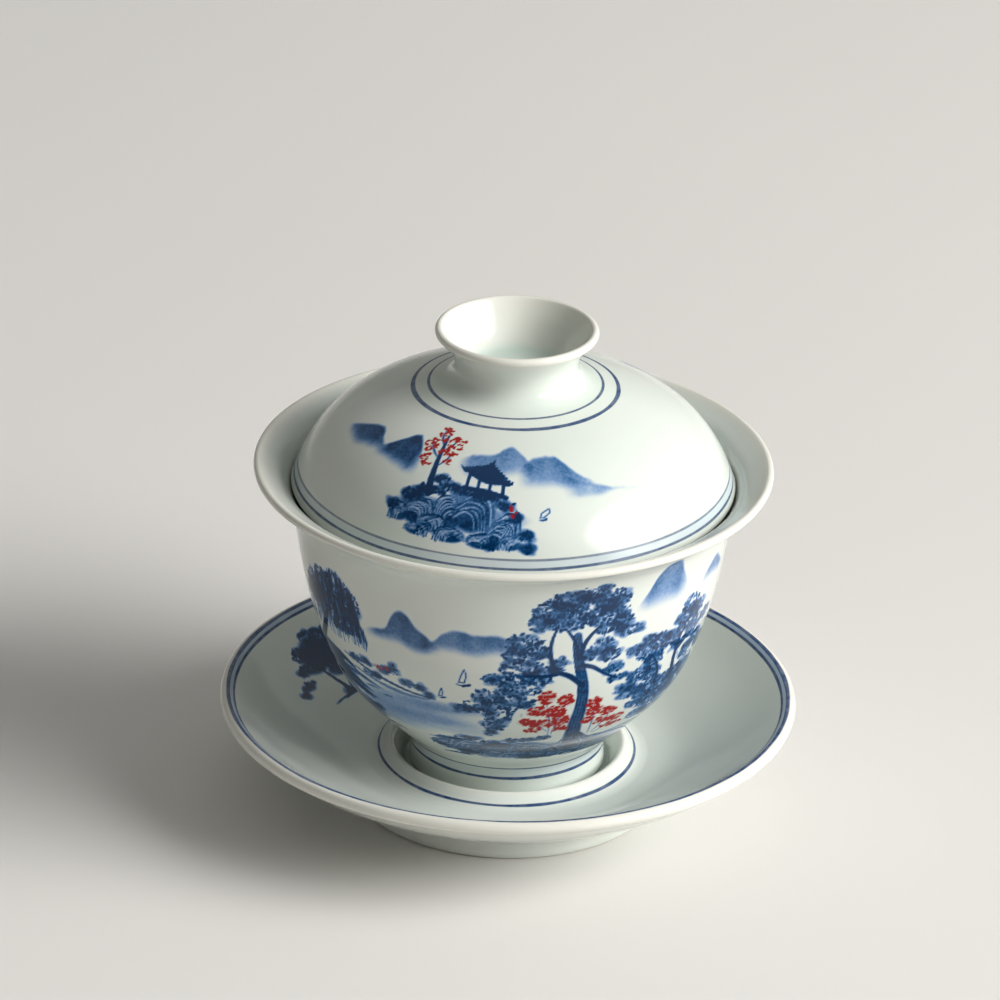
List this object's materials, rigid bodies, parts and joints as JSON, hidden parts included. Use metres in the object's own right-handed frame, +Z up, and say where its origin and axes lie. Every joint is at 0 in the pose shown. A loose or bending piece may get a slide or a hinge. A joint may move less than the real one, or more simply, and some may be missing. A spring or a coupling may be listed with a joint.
{
  "type": "lidded tea bowl with saucer",
  "caption": "Lidded porcelain tea bowl with a flared lip on a footed saucer; the domed lid has a cup-shaped knob and lifts off, and the bowl lifts out of the saucer's well.",
  "frame": {"origin": "on the common turning axis, in the plane the saucer's foot stands on", "axes": "+Z up along the turning axis, from the saucer's foot towards the lid's knob; +X and +Y are free, and the painted scene faces -Y"},
  "size_m": [0.1164, 0.1164, 0.1026],
  "materials": {
    "saucer_porcelain": "clear gloss glaze, blue lines under it",
    "bowl_porcelain": "clear gloss glaze over a blue and red painted landscape",
    "lid_porcelain": "clear gloss glaze over a blue and red painted landscape"
  },
  "bodies": {
    "saucer": {"saucer": "saucer_porcelain"},
    "bowl": {"bowl": "bowl_porcelain"},
    "lid": {"lid": "lid_porcelain"}
  },
  "joints": [
    {"name": "bowl_lift", "type": "slide", "parent": "saucer", "child": "bowl", "axis": [0, 0, 1], "range_m": [0, 0.08]},
    {"name": "lid_lift", "type": "slide", "parent": "bowl", "child": "lid", "axis": [0, 0, 1], "range_m": [0, 0.08]}
  ]
}
